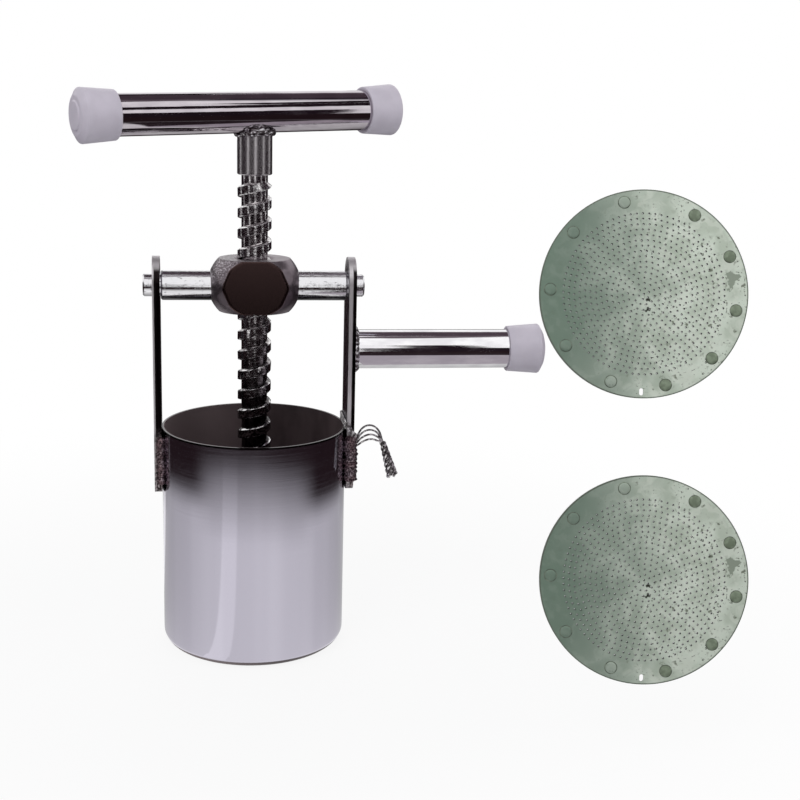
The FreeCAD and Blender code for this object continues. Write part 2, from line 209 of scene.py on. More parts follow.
sudden = add(tree, "ShaderNodeMapRange", {"Value": pulled_reach, "From Min": 0.29, "From Max": 0.38},
             interpolation_type="SMOOTHSTEP")
darkness = add(tree, "ShaderNodeMix", {0: sideways.outputs[0], 2: gradual.outputs[0], 3: sudden.outputs[0]})
left_streak = add(tree, "ShaderNodeMath", {0: side_share, 1: -0.5, 2: 0.13}, operation="COMPARE").outputs[0]
falling = add(tree, "ShaderNodeMapRange", {"Value": back_share, "From Min": -1.0, "From Max": 0.5,
                                           "To Min": 0.86, "To Max": 0.55}).outputs[0]
white_level = add(tree, "ShaderNodeMath", {0: falling, 1: left_streak}, operation="MAXIMUM").outputs[0]
card_white = add(tree, "ShaderNodeCombineXYZ", {"X": white_level, "Y": white_level, "Z": white_level})
card_colour = add(tree, "ShaderNodeMix", {0: darkness.outputs[0], 6: card_white.outputs[0],
                                          7: "#261b1e"}, data_type="RGBA")
tree.links.new(card_colour.outputs[2], floor_glow.inputs["Color"])
band_card("floor_card", 0.0512, 1.6, 0.0, 0.0, 0, 360, floor_card_paper)

# Dark walls stand round the press with gaps, which the barrel shows as bright upright bands. The
# line and wedge cards darken the handles' tubes, and the overhead ones the tubes and the arms.
dark_card, _ = card_finish("dark_card_paper", "#231a20")
wall_reach = 1.6
overhead = 1.2
for index, (start, end) in enumerate(((-172, -112), (-104, -62), (-54, -9), (3, 42), (52, 104), (112, 168))):
    band_card("wall_card_%d" % index, wall_reach, wall_reach, 0.0, 0.56, start, end, dark_card)
band_card("line_card", wall_reach, wall_reach, 1.06, 1.62, -34, -120, dark_card)
band_card("line_card_right", wall_reach, wall_reach, 1.63, 2.15, -57, -120, dark_card)
band_card("wedge_card", wall_reach, wall_reach, 0.56, 1.1, -12, -17, dark_card)
overhead_card, _ = card_finish("overhead_card_paper", "#4c4148")
band_card("overhead_card_back", 0.05, 0.72, overhead, overhead, 100, 260, overhead_card)
band_card("overhead_card_front", 0.05, 0.27, overhead, overhead, -60, 60, overhead_card)
band_card("overhead_card_far", 0.72, 1.12, overhead, overhead, 150, 192, dark_card)
grey_card, _ = card_finish("grey_card_paper", "#6b6167")
band_card("overhead_card_right", 0.2, 0.385, 1.21, 1.21, -38, -99, grey_card)
band_card("overhead_card_side", 0.72, 0.95, overhead, overhead, 193, 260, grey_card)

# The low card lies under the side handle: grey, and dark at its front edge.
low_card, low_glow = card_finish("low_card_paper", "#a69fa6")
tree = low_card.node_tree
spot = add(tree, "ShaderNodeSeparateXYZ", {"Vector": add(tree, "ShaderNodeTexCoord").outputs["Object"]})
ahead_of_tube = add(tree, "ShaderNodeMapRange", {"Value": spot.outputs["Y"], "From Min": -0.068,
                                                 "From Max": -0.074})
low_colour = add(tree, "ShaderNodeMix", {0: ahead_of_tube.outputs[0], 6: "#a69fa6",
                                         7: "#2b2226"}, data_type="RGBA")
tree.links.new(low_colour.outputs[2], low_glow.inputs["Color"])
band_card("low_card", 0.062, 0.21, 0.13, 0.13, -28, -88, low_card)

# The card on the right lets the room show through at its front edge, and darkens round the press.
right_card, right_glow = card_finish("right_card_paper", "#2f262e")
tree = right_card.node_tree
spot = add(tree, "ShaderNodeSeparateXYZ", {"Vector": add(tree, "ShaderNodeTexCoord").outputs["Object"]})
turned = add(tree, "ShaderNodeMath", {0: spot.outputs["Y"], 1: spot.outputs["X"]},
             operation="DIVIDE").outputs[0]
shade = add(tree, "ShaderNodeMapRange", {"Value": turned, "From Min": -0.36, "From Max": -0.04},
            interpolation_type="SMOOTHSTEP").outputs[0]
clear = add(tree, "ShaderNodeBsdfTransparent")
seen = add(tree, "ShaderNodeMixShader", {0: shade, 1: clear.outputs[0], 2: right_glow.outputs[0]})
tree.links.new(seen.outputs[0], tree.nodes["Material Output"].inputs["Surface"])
band_card("right_card", 1.3, 0.6, 1.3, 3.0, -60, -125, right_card)


# Barrel. A cup spun or drawn from stainless sheet and polished round, with its floor cut out to
# a lip. The CAD solid has its shape; the steel shows faint polishing lines round it.
def new_finish(name, colour, metallic, roughness):
    """A material, its node tree, its shader, and the place on the piece, in metres."""
    material = bpy.data.materials.new(name)
    material.use_nodes = True
    material.node_tree.nodes.clear()
    shader = add(material.node_tree, "ShaderNodeBsdfPrincipled",
                 {"Base Color": colour, "Metallic": metallic, "Roughness": roughness})
    add(material.node_tree, "ShaderNodeOutputMaterial", {"Surface": shader.outputs[0]})
    place = add(material.node_tree, "ShaderNodeTexCoord").outputs["Object"]
    return material, material.node_tree, shader, place


def grain(tree, place, spans, detail=2.0, distortion=0.0):
    """Noise from 0 to 1 whose patches are as long as spans, in millimetres, along X, Y and Z."""
    cycles = [1000.0 / span for span in spans]
    scaled = add(tree, "ShaderNodeVectorMath", {0: place, 1: cycles}, operation="MULTIPLY")
    return add(tree, "ShaderNodeTexNoise", {"Vector": scaled.outputs[0], "Scale": 1.0, "Detail": detail,
                                            "Distortion": distortion}).outputs["Fac"]


def fade(tree, value, low, high, first=0.0, second=1.0):
    """A number or a colour that goes smoothly from first to second as a value goes from low to high."""
    plain = isinstance(first, float) and isinstance(second, float)
    share = add(tree, "ShaderNodeMapRange", {"Value": value, "From Min": low, "From Max": high,
                                             "To Min": first if plain else 0.0,
                                             "To Max": second if plain else 1.0},
                interpolation_type="SMOOTHSTEP").outputs[0]
    if plain:
        return share
    return add(tree, "ShaderNodeMix", {0: share, 6: first, 7: second}, data_type="RGBA").outputs[2]


def roundness(tree, place):
    """The place as distance from the screw's axis, a point on the unit circle, and height."""
    parts = add(tree, "ShaderNodeSeparateXYZ", {"Vector": place})
    flat = add(tree, "ShaderNodeCombineXYZ", {"X": parts.outputs["X"], "Y": parts.outputs["Y"]})
    distance = add(tree, "ShaderNodeVectorMath", {0: flat.outputs[0]}, operation="LENGTH").outputs["Value"]
    around = add(tree, "ShaderNodeVectorMath", {0: flat.outputs[0]}, operation="NORMALIZE").outputs[0]
    return distance, around, parts.outputs["Z"]


def surface(tree, shader, colour, roughness=None, relief=None, strength=0.1, depth=0.2):
    """Links a material's colour, its roughness, and its relief, whose depth is in millimetres."""
    tree.links.new(colour, shader.inputs["Base Color"])
    if roughness:
        tree.links.new(roughness, shader.inputs["Roughness"])
    if relief:
        bump = add(tree, "ShaderNodeBump", {"Height": relief, "Strength": strength, "Distance": depth * MM})
        tree.links.new(bump.outputs[0], shader.inputs["Normal"])


def dress(name, finish):
    """Gives a CAD node its finish."""
    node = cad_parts[name]
    node.data.materials.clear()
    node.data.materials.append(finish)
    return node


# Stainless sheet, polished round: a lilac-grey mirror, blurred along the polishing lines, which
# are drawn 0.6 mm apart, coarser than real ones, so that they show. The cut rim is painted dark,
# a painted shade, and the foot's edge a little darker. Inside is a dull brown film of dried dough
# and oil, made darker as painted shade in the hollow, and painted lighter towards the left as
# painted light.
barrel_steel, tree, shader, place = new_finish("stainless_sheet_polished_round", "#c6c2d0", 1.0, 0.1)
distance, around, height = roundness(tree, place)
barrel_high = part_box("barrel")[1]
barrel_top = barrel_high.z
film_starts, film_ends = 48.9 * MM, 49.3 * MM
streaks = grain(tree, add(tree, "ShaderNodeVectorMath", {0: around, 1: (0.05, 0.05, 0.05)},
                          operation="MULTIPLY").outputs[0], (22, 22, 22), 2.0)
lines = grain(tree, place, (60, 60, 0.6), 3.0)
tone = fade(tree, streaks, 0.36, 0.64, "#c6c2cf", "#cdc9d6")
# Painted shade: the cut rim is painted dark.
tone = fade(tree, height, barrel_top - 1.3 * MM, barrel_top - 0.8 * MM, tone, "#2a2426")
# Darker towards the foot's edge.
tone = fade(tree, height, 4.5 * MM, 1.5 * MM, tone, "#aaa6b0")
# The inside: a brown film, its darkness partly painted shade in the hollow.
film_and_painted_shade = fade(tree, grain(tree, place, (14, 14, 30), 3.0), 0.35, 0.7, "#43383a", "#54484a")
to_the_right = add(tree, "ShaderNodeSeparateXYZ", {"Vector": around}).outputs["X"]
# Painted light: the inside is painted lighter towards the left.
film_and_painted_shade = fade(tree, to_the_right, 0.3, -0.6, film_and_painted_shade, "#76686a")
tree.links.new(fade(tree, distance, film_ends, film_starts, 1.0, 0.25), shader.inputs["Metallic"])
tone = fade(tree, distance, film_ends, film_starts, tone, film_and_painted_shade)
dull = fade(tree, distance, film_ends, film_starts, 0.1, 0.5)
rough = add(tree, "ShaderNodeMath", {0: dull, 1: fade(tree, lines, 0.3, 0.7, -0.02, 0.03)}, operation="ADD")
surface(tree, shader, tone, rough.outputs[0], lines, 0.015)
dress("barrel", barrel_steel)


# Side arms. Two lengths of flat bar, ground and polished, welded to the barrel's sides, drilled
# at the top for the crossbars' journals.

# Stainless flat bar, ground along its length: satin grey faces, with scratches drawn 1.2 mm wide,
# coarser than real ones, so that they show. The narrow edges are painted nearly black, a painted
# reflection of the dark round the press, but for one strip and the top end, which are painted light
# as painted highlights of the rounded edge. By the weld the heat has left a brown speckle.
heat_ends = 126.0 * MM
heat_starts = 116.0 * MM
for side in ("left", "right"):
    arm_steel, tree, shader, place = new_finish("stainless_flat_bar_polished_" + side, "#7d7879", 1.0, 0.2)
    arm_low, arm_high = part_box(side + "_arm")
    parts = add(tree, "ShaderNodeSeparateXYZ", {"Vector": place})
    height = parts.outputs["Z"]
    scratches = grain(tree, place, (1.2, 1.2, 40), 4.0)
    near_weld = fade(tree, height, heat_ends, heat_starts)
    speckle = fade(tree, grain(tree, place, (1.1, 1.1, 1.4), 5.0), 0.44, 0.6)
    # Painted highlights: a strip along each narrow edge and the top end are painted light.
    highlight_x = arm_low.x + (0.9 if side == "left" else 2.1) * MM
    highlight_strip = fade(tree, parts.outputs["X"], highlight_x + 0.3 * MM, highlight_x - 0.3 * MM)
    highlight_top = fade(tree, height, arm_high.z - 7 * MM, arm_high.z - 3 * MM)
    painted_highlight_and_wear = add(tree, "ShaderNodeMath", {0: highlight_strip, 1: highlight_top}, operation="MAXIMUM").outputs[0]
    # Painted reflection: the narrow edges are painted nearly black.
    edge_painted_reflection = add(tree, "ShaderNodeMix", {0: painted_highlight_and_wear, 6: "#1f1a1b", 7: "#dedadd"},
                      data_type="RGBA").outputs[2]
    normal = add(tree, "ShaderNodeNewGeometry").outputs["Normal"]
    facing = add(tree, "ShaderNodeSeparateXYZ", {"Vector": normal})
    sideways = add(tree, "ShaderNodeMath", {0: facing.outputs["X"]}, operation="ABSOLUTE").outputs[0]
    wide_face = fade(tree, scratches, 0.3, 0.7, "#77727a", "#a7a3a9")
    clean_bar = fade(tree, sideways, 0.6, 0.8, edge_painted_reflection, wide_face)
    heated = add(tree, "ShaderNodeMix", {0: speckle, 6: "#2c2424", 7: "#a69a9d"},
                 data_type="RGBA").outputs[2]
    heat_share = fade(tree, height, heat_ends, heat_starts, 0.0, 0.75)
    tone = add(tree, "ShaderNodeMix", {0: heat_share, 6: clean_bar, 7: heated}, data_type="RGBA").outputs[2]
    highlight_strip_on_edge = add(tree, "ShaderNodeMix", {0: sideways, 2: painted_highlight_and_wear, 3: 0.0}).outputs[0]
    scratched = fade(tree, scratches, 0.3, 0.75, 0.14, 0.34)
    rough = add(tree, "ShaderNodeMix", {0: highlight_strip_on_edge, 2: scratched, 3: 0.5}).outputs[0]
    relief = add(tree, "ShaderNodeMath", {0: near_weld, 1: speckle}, operation="MULTIPLY").outputs[0]
    relief = add(tree, "ShaderNodeMath", {0: relief, 1: scratches}, operation="ADD").outputs[0]
    surface(tree, shader, tone, rough, relief, 0.2, 0.3)
    dress(side + "_arm", arm_steel)


# Weld beads. Filler metal laid in overlapping ripples, as welded: between arms and barrel, round
# the side handle's end, and round the shank under the turning handle.
def weld_bead(path, radius, closed, ripple, seed, squareness=0.0):
    """Points and faces of a lumpy tube along a path, in metres."""
    sides = 14
    count = len(path)
    points, faces = [], []
    travelled = 0.0
    for index, centre in enumerate(path):
        before = path[index - 1] if closed or index else centre
        after = path[(index + 1) % count] if closed or index < count - 1 else centre
        travelled += (centre - before).length if index else 0.0
        along = (after - before).normalized()
        across = along.cross(Vector((0.13, 0.21, 0.97))).normalized()
        third = along.cross(across)
        wave = abs(math.sin(math.pi * travelled / ripple))
        end_taper = 1.0
        if not closed:
            ends = min(index, count - 1 - index) / 5
            end_taper = math.sqrt(max(0.02, 1 - (1 - min(1.0, ends)) ** 2))
        for side in range(sides):
            turn = 2 * math.pi * side / sides
            out = across * math.cos(turn) + third * math.sin(turn)
            out *= 1 + squareness * math.sin(2 * turn) ** 2
            lump = noise.noise((centre + out * radius) * 420 + Vector((seed, 0, 0)))
            points.append(centre + out * radius * end_taper * (0.86 + 0.17 * wave + 0.3 * lump))
    rings = count if closed else count - 1
    for index in range(rings):
        low, high = index * sides, ((index + 1) % count) * sides
        for side in range(sides):
            nxt = (side + 1) % sides
            faces.append((low + side, low + nxt, high + nxt, high + side))
    if not closed:
        faces.append(tuple(reversed(range(sides))))
        faces.append(tuple(range((count - 1) * sides, count * sides)))
    return points, faces


def join_parts(parts):
    """One list of points and faces from several."""
    points, faces = [], []
    for more_points, more_faces in parts:
        start = len(points)
        points += list(more_points)
        faces += [tuple(start + i for i in face) for face in more_faces]
    return points, faces


def put_on(piece, finish, body, slot, *nodes):
    """Finishes a new piece and fixes it to a body, in the place of the CAD nodes it stands for."""
    piece.data.materials.append(finish)
    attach(piece, body)
    if nodes:
        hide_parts(*nodes)
    return piece


# Stainless weld metal, as laid: a brown and pinkish heat film over bright ripples.
weld_steel, tree, shader, place = new_finish("stainless_weld_metal_as_laid", "#6a5a5c", 1.0, 0.3)
flecks = fade(tree, grain(tree, place, (1.0, 1.0, 1.0), 5.0), 0.4, 0.62)
tint = fade(tree, grain(tree, place, (5, 5, 5), 2.0), 0.4, 0.62, "#877175", "#a8999e")
tone = add(tree, "ShaderNodeMix", {0: flecks, 6: "#43363a", 7: tint}, data_type="RGBA").outputs[2]
surface(tree, shader, tone, fade(tree, flecks, 0.0, 1.0, 0.5, 0.34), flecks, 0.4, 0.3)

arm_low, arm_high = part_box("right_arm")
barrel_radius = barrel_high.x
arm_half = arm_high.y
bead_step = 0.45 * MM
beads = []
for side in (-1, 1):
    for front in (-1, 1):
        low = arm_low.z + 5 * MM
        high = barrel_top - 3.5 * MM
        steps = int((high - low) / bead_step)
        bead_radius = (2.1 if side < 0 else 3.1) * MM
        bead_x = barrel_radius + (0.3 if side < 0 else 2.3) * MM
        path = [Vector((side * bead_x, front * (arm_half - 0.6 * MM), low + (high - low) * i / steps))
                for i in range(steps + 1)]
        beads.append(weld_bead(path, bead_radius, False, 2.4 * MM, side * 7 + front, 0.3))
put_on(new_mesh("arm_weld_beads", *join_parts(beads)), weld_steel, "frame", "weld_steel", "arm_welds")


# Nut block. A forged ball of steel, milled flat above, below, in front and behind, and tapped for
# the screw. It is a little wider and lower than the CAD solid, with its corners cut at a slant.
block_low, block_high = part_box("nut_block")
block_centre = (block_low + block_high) / 2 + Vector((0, 0, 0.6 * MM))
block_half = (block_high - block_low) / 2 - Vector((0, 0, 1.3 * MM))
ball_radius = block_half.x
ball_stretch = 1.13
corner_cut = 22.7 * MM
bore_radius = 9.15 * MM
edge_softness = 300.0
flat_depth = 16.1 * MM


def block_surface(direction):
    """How far the ball with flats reaches from its centre in a direction, its edges softened."""
    reaches = [ball_radius]
    if abs(direction.y) > 0.05:
        reaches.append(flat_depth / abs(direction.y))
    if abs(direction.z) > 0.05:
        reaches.append(block_half.z / abs(direction.z))
    reaches.append(corner_cut / (0.7 * abs(direction.x) + 0.73 * abs(direction.y) + 0.27 * abs(direction.z)))
    scale = edge_softness / ball_radius
    nearest = min(reaches)
    return nearest - math.log(sum(math.exp(-(r - nearest) * scale) for r in reaches)) / scale


around_steps, down_steps = 240, 130
first_angle = math.atan2(bore_radius + 0.8 * MM, block_half.z)
points, faces = [], []
for row in range(down_steps + 1):
    polar = first_angle + (math.pi - 2 * first_angle) * row / down_steps
    for column in range(around_steps):
        turn = 2 * math.pi * column / around_steps
        direction = Vector((math.sin(polar) * math.cos(turn), math.sin(polar) * math.sin(turn),
                            math.cos(polar)))
        reach = direction * block_surface(direction)
        points.append(block_centre + Vector((reach.x * ball_stretch, reach.y, reach.z)))
for height in (-block_half.z + 0.8 * MM, block_half.z - 0.8 * MM):
    for column in range(around_steps):
        turn = 2 * math.pi * column / around_steps
        points.append(block_centre + Vector((bore_radius * math.cos(turn), bore_radius * math.sin(turn),
                                             height)))
rows = down_steps + 3
for row in range(rows):
    for column in range(around_steps):
        nxt = (column + 1) % around_steps
        low, high = row * around_steps, ((row + 1) % rows) * around_steps
        faces.append((low + column, high + column, high + nxt, low + nxt))
block = new_mesh("nut_block_milled", points, faces)

# Mild steel, milled and polished: smooth flats of a nearly black brown, and satin grey round sides,
# with a pale speckle painted at the upper left as a painted highlight.
block_steel, tree, shader, place = new_finish("forged_steel_milled", "#6b6164", 1.0, 0.22)
parts = add(tree, "ShaderNodeSeparateXYZ", {"Vector": place})
depth = add(tree, "ShaderNodeMath", {0: parts.outputs["Y"]}, operation="ABSOLUTE").outputs[0]
on_flat = fade(tree, depth, flat_depth - 0.5 * MM, flat_depth - 0.2 * MM)
speckle = fade(tree, grain(tree, place, (0.8, 0.8, 0.8), 3.0), 0.46, 0.66)
patches = grain(tree, place, (10, 10, 10), 2.0)
# Painted highlight: pale speckle, only at the upper left.
side_painted_highlight_speckle = add(tree, "ShaderNodeMix", {0: speckle, 6: "#6a6266", 7: "#c6bfc5"},
                    data_type="RGBA").outputs[2]
left_top = add(tree, "ShaderNodeMath", {0: parts.outputs["Z"], 1: parts.outputs["X"]},
               operation="SUBTRACT").outputs[0]
highlight_speckle_share = fade(tree, left_top, 0.215, 0.232)
round_side = fade(tree, patches, 0.35, 0.65, "#786d73", "#90858c")
round_side = add(tree, "ShaderNodeMix", {0: highlight_speckle_share, 6: round_side, 7: side_painted_highlight_speckle},
                 data_type="RGBA").outputs[2]
tone = add(tree, "ShaderNodeMix", {0: on_flat, 6: round_side, 7: "#4a3a39"}, data_type="RGBA").outputs[2]
rough_share = add(tree, "ShaderNodeMath", {0: highlight_speckle_share, 1: 0.06}, operation="MAXIMUM").outputs[0]
marks_share = add(tree, "ShaderNodeMix", {0: on_flat, 2: rough_share, 3: 0.02}).outputs[0]
mill_marks = add(tree, "ShaderNodeMath", {0: speckle, 1: marks_share}, operation="MULTIPLY").outputs[0]
surface(tree, shader, tone, fade(tree, on_flat, 0.0, 1.0, 0.38, 0.2), mill_marks)
put_on(block, block_steel, "frame", "block_steel", "nut_block")


# Crossbars. Round bright bar, turned down to a journal at the outer end and pressed into the
# block at the inner end. The CAD solids have their shape, shoulders and chamfers.

# Bright steel bar, turned: a clean shine with a few dark scuffs, and painted shade along the
# underside. The washer and the cross pins, which the plunger hides, are of the same bar.
bar_steel, tree, shader, place = new_finish("bright_bar_turned", "#e4e3e6", 1.0, 0.14)
bar_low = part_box("left_trunnion")[0]
bar_height = add(tree, "ShaderNodeSeparateXYZ", {"Vector": place}).outputs["Z"]
rings = grain(tree, place, (0.45, 30, 30), 3.0)
wear = grain(tree, place, (2.4, 1.0, 1.0), 5.0)
clean_bar = fade(tree, wear, 0.62, 0.7, "#eae9ec", "#7d7b80")
# Painted shade: the lowest few millimetres of the bars are painted nearly black.
painted_shade_below = fade(tree, bar_height, bar_low.z + 4.5 * MM, bar_low.z + 1.5 * MM, clean_bar, "#3c3a3c")
surface(tree, shader, painted_shade_below, fade(tree, wear, 0.4, 0.7, 0.1, 0.3), rings, 0.08)
for name in ("left_trunnion", "right_trunnion", "thrust_washer", "retaining_pins"):
    dress(name, bar_steel)


# Plunger. A pressed stainless cup with a turned hub, which the screw's tip carries on two pins
# across its groove.

# Stainless sheet, polished round the screw's axis like the barrel, with dull stains from dough.
plunger_steel, tree, shader, place = new_finish("stainless_sheet_pressed", "#c2bfc8", 1.0, 0.2)
rings = grain(tree, place, (40, 40, 0.7), 3.0)
stains = grain(tree, place, (12, 12, 6), 4.0, 0.5)
tone = fade(tree, stains, 0.5, 0.75, "#c2bfc8", "#7c7476")
surface(tree, shader, tone, fade(tree, stains, 0.35, 0.7, 0.17, 0.33), rings)
for name in ("plunger_plate", "plunger_hub"):
    dress(name, plunger_steel)


# Power screw. One bar of steel with a coarse square thread of 11 mm lead, right-handed, cut on a
# lathe, rough and greasy from use, with a plain shank that is welded under the turning handle.
pitch = 11.0 * MM
crest_radius = 9.0 * MM
root_radius = 7.0 * MM
ridge_width = 5.3 * MM
flank_width = 0.7 * MM
ridge_height_at_front = 200.5 * MM
screw_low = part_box("power_screw")[0]
shank_bottom = 259.0 * MM
hub_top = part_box("plunger_hub")[1].z
thread_low = hub_top + 4.5 * MM
thread_high = shank_bottom - 4.0 * MM
sections = 56
half_ridge = 0.5 * ridge_width / pitch
half_flank = 0.5 * flank_width / pitch
profile = [(-0.5, 0), (-half_ridge - half_flank, 0), (-half_ridge, 0.85), (-half_ridge + half_flank, 1),
           (half_ridge - 2.2 * half_flank, 1), (half_ridge - 0.2 * half_flank, 0.65),
           (half_ridge + half_flank, 0)]
first_turn = math.floor((thread_low - ridge_height_at_front) / pitch) - 1
last_turn = math.ceil((thread_high - ridge_height_at_front) / pitch) + 1
points, faces = [], []
columns = (last_turn - first_turn) * sections
for column in range(columns + 1):
    angle = 2 * math.pi * column / sections
    base = ridge_height_at_front + pitch * (first_turn + column / sections)
    for offset, rise in profile:
        height = base + offset * pitch
        ragged = noise.noise(Vector((math.cos(angle) * 6, math.sin(angle) * 6, height * 900))) * 0.2 * MM
        inside = thread_low < height < thread_high
        radius = root_radius
        if inside:
            radius = root_radius + (crest_radius - root_radius) * rise + ragged * (0.4 + rise)
        points.append(Vector((radius * math.cos(angle), radius * math.sin(angle),
                              min(max(height + ragged * 0.5 * inside, thread_low), thread_high))))
width = len(profile)
for column in range(columns):
    for step in range(width):
        here, there = column * width + step, (column + 1) * width + step
        if step < width - 1:
            faces.append((here, there, there + 1, here + 1))
        elif column + sections + 1 <= columns:
            upper = (column + sections) * width
            faces.append((here, there, upper + width, upper))


def lathe(profile, steps, direction=Vector((0, 0, 1)), start=Vector((0, 0, 0))):
    """Points and faces of a turned shape from (radius, distance) pairs along an axis."""
    turn_to = Vector((0, 0, 1)).rotation_difference(direction).to_matrix()
    points, faces = [], []
    for radius, distance in profile:
        for step in range(steps):
            angle = 2 * math.pi * step / steps
            points.append(start + turn_to @ Vector((radius * math.cos(angle), radius * math.sin(angle),
                                                    distance)))
    for row in range(len(profile) - 1):
        for step in range(steps):
            nxt = (step + 1) % steps
            faces.append((row * steps + step, row * steps + nxt, (row + 1) * steps + nxt,
                          (row + 1) * steps + step))
    faces.append(tuple(reversed(range(steps))))
    faces.append(tuple(range((len(profile) - 1) * steps, len(profile) * steps)))
    return points, faces


shank_radius = 9.25 * MM
tip_radius = 6.0 * MM
tee_z = 291.05 * MM
tube_radius = 10.65 * MM
shank = lathe([(root_radius, thread_high - 0.5 * MM), (root_radius, shank_bottom),
               (shank_radius - 0.5 * MM, shank_bottom), (shank_radius, shank_bottom + 0.5 * MM),
               (shank_radius, tee_z - 9.2 * MM), (shank_radius - 0.6 * MM, tee_z - 8.6 * MM),
               (shank_radius - 4.5 * MM, tee_z - 8.6 * MM)], 64)
tip = lathe([(tip_radius, screw_low.z), (tip_radius, hub_top + 0.5 * MM), (root_radius, hub_top + 0.5 * MM),
             (root_radius, thread_low + 0.5 * MM)], 64)
screw = new_mesh("power_screw_threaded", *join_parts([(points, faces), shank, tip]))
tidy = bmesh.new()
tidy.from_mesh(screw.data)
bmesh.ops.remove_doubles(tidy, verts=tidy.verts, dist=0.02 * MM)
bmesh.ops.dissolve_degenerate(tidy, edges=tidy.edges, dist=0.01 * MM)
tidy.to_mesh(screw.data)
tidy.free()
screw.data.polygons.foreach_set("use_smooth", [True] * len(screw.data.polygons))
screw.data.set_sharp_from_angle(angle=math.radians(33))

# Steel bar, thread-cut: below the block dark with grease and painted shade, with scuffed crests,
# and above it painted light, with painted highlights on the crests' upper edges. The shank is plain
# and clean.
screw_steel, tree, shader, place = new_finish("steel_bar_thread_cut", "#4a4447", 1.0, 0.2)
distance, _, height = roundness(tree, place)
on_crest = fade(tree, distance, root_radius + 0.7 * MM, crest_radius - 0.2 * MM)
grime = fade(tree, grain(tree, place, (2.2, 2.2, 3.0), 4.0, 0.4), 0.4, 0.62)
scuffs = fade(tree, grain(tree, place, (1.4, 1.4, 1.0), 3.0), 0.44, 0.6)
above_block = fade(tree, height, 0.125, 0.2)
# Below the block the thread is dark with grease and painted shade; above it it is painted light.
crest_grease_and_shade = add(tree, "ShaderNodeMix", {0: scuffs, 6: "#2b2628", 7: "#8a8487"}, data_type="RGBA").outputs[2]
root_grease_and_shade = add(tree, "ShaderNodeMix", {0: grime, 6: "#120f11", 7: "#3e393b"}, data_type="RGBA").outputs[2]
crest_painted_light = add(tree, "ShaderNodeMix", {0: scuffs, 6: "#a8a2a5", 7: "#ffffff"}, data_type="RGBA").outputs[2]
root_painted_light = add(tree, "ShaderNodeMix", {0: grime, 6: "#8c8689", 7: "#f2eeef"}, data_type="RGBA").outputs[2]
crest_tone = add(tree, "ShaderNodeMix", {0: above_block, 6: crest_grease_and_shade, 7: crest_painted_light},
                 data_type="RGBA").outputs[2]
root_tone = add(tree, "ShaderNodeMix", {0: above_block, 6: root_grease_and_shade, 7: root_painted_light},
                data_type="RGBA").outputs[2]
normal = add(tree, "ShaderNodeNewGeometry").outputs["Normal"]
facing = add(tree, "ShaderNodeSeparateXYZ", {"Vector": normal})
# Painted highlight: faces turned upwards are painted near white, in patches.
painted_edge_highlight = fade(tree, facing.outputs["Z"], 0.45, 0.6)
highlight_patches = fade(tree, grain(tree, place, (4.0, 4.0, 4.0), 3.0), 0.46, 0.58)
painted_edge_highlight = add(tree, "ShaderNodeMath", {0: painted_edge_highlight, 1: highlight_patches}, operation="MULTIPLY").outputs[0]
crest_tone = add(tree, "ShaderNodeMix", {0: painted_edge_highlight, 6: crest_tone, 7: "#f2f0f1"},
                 data_type="RGBA").outputs[2]
on_shank = fade(tree, height, shank_bottom - 1.0 * MM, shank_bottom)
painted_highlight_and_wear = add(tree, "ShaderNodeMix", {0: on_crest, 6: root_tone, 7: crest_tone}, data_type="RGBA").outputs[2]
tone = add(tree, "ShaderNodeMix", {0: on_shank, 6: painted_highlight_and_wear, 7: "#c9c4c7"}, data_type="RGBA").outputs[2]
thread_dullness = add(tree, "ShaderNodeMix", {0: above_block, 2: 0.14, 3: 0.2}).outputs[0]
rough = add(tree, "ShaderNodeMix", {0: on_shank, 2: thread_dullness, 3: 0.27}).outputs[0]
cuts = grain(tree, place, (6, 6, 0.9), 2.0)
relief = add(tree, "ShaderNodeMath", {0: cuts, 1: fade(tree, on_shank, 0.0, 1.0, 1.0, 0.01)},
             operation="MULTIPLY").outputs[0]
surface(tree, shader, tone, rough, relief, 0.3, 0.3)
put_on(screw, screw_steel, "screw", "screw_steel", "power_screw")


# Turning handle. A length of polished stainless tube across the top of the screw, welded to the
# shank, a little off centre, with a push-on plastic cap at each end.

# Stainless tube, polished to a mirror with faint lines along it. The turning handle is a little
# duller from use than the side handle.
for name, dull, bright in (("tee_handle_tube", "#c0b8bf", "#d2cbd1"),
                           ("side_handle_tube", "#e9e7eb", "#fbfafc")):
    tube_steel, tree, shader, place = new_finish("stainless_mirror_" + name, dull, 1.0, 0.06)
    haze = grain(tree, place, (14, 14, 4), 3.0)
    lines = grain(tree, place, (40, 14, 0.5), 3.0)
    tone = fade(tree, haze, 0.3, 0.7, dull, bright)
    surface(tree, shader, tone, fade(tree, haze, 0.35, 0.7, 0.04, 0.09), lines, 0.03)
    dress(name, tube_steel)

tee_turn = math.radians(23.0)
tee_tilt = math.radians(1.3)
tee_axis = Vector((math.cos(tee_turn) * math.cos(tee_tilt), math.sin(tee_turn) * math.cos(tee_tilt),
                   math.sin(tee_tilt)))
tee_centre = Vector((0, 0, tee_z))
tee_across = Vector((-math.sin(tee_turn), math.cos(tee_turn), 0))
beads = []
for bead_ring, highest, thickness, seed in ((9.5, 10.3, 1.6, 31), (7.6, 9.2, 1.9, 37), (5.0, 8.4, 1.9, 41)):
    bead_path = []
    for step in range(140):
        angle = 2 * math.pi * step / 140
        spot = Vector((math.cos(angle), math.sin(angle), 0)) * bead_ring * MM
        beside = spot.dot(tee_across)
        lean = spot.dot(tee_axis) * math.tan(tee_tilt)
        drop = math.sqrt(max((highest * MM) ** 2, (tube_radius + 0.3 * MM) ** 2 - beside ** 2))
        bead_path.append(spot + Vector((0, 0, tee_z - drop + lean)))
    beads.append(weld_bead(bead_path, thickness * MM, True, 2.6 * MM, seed))
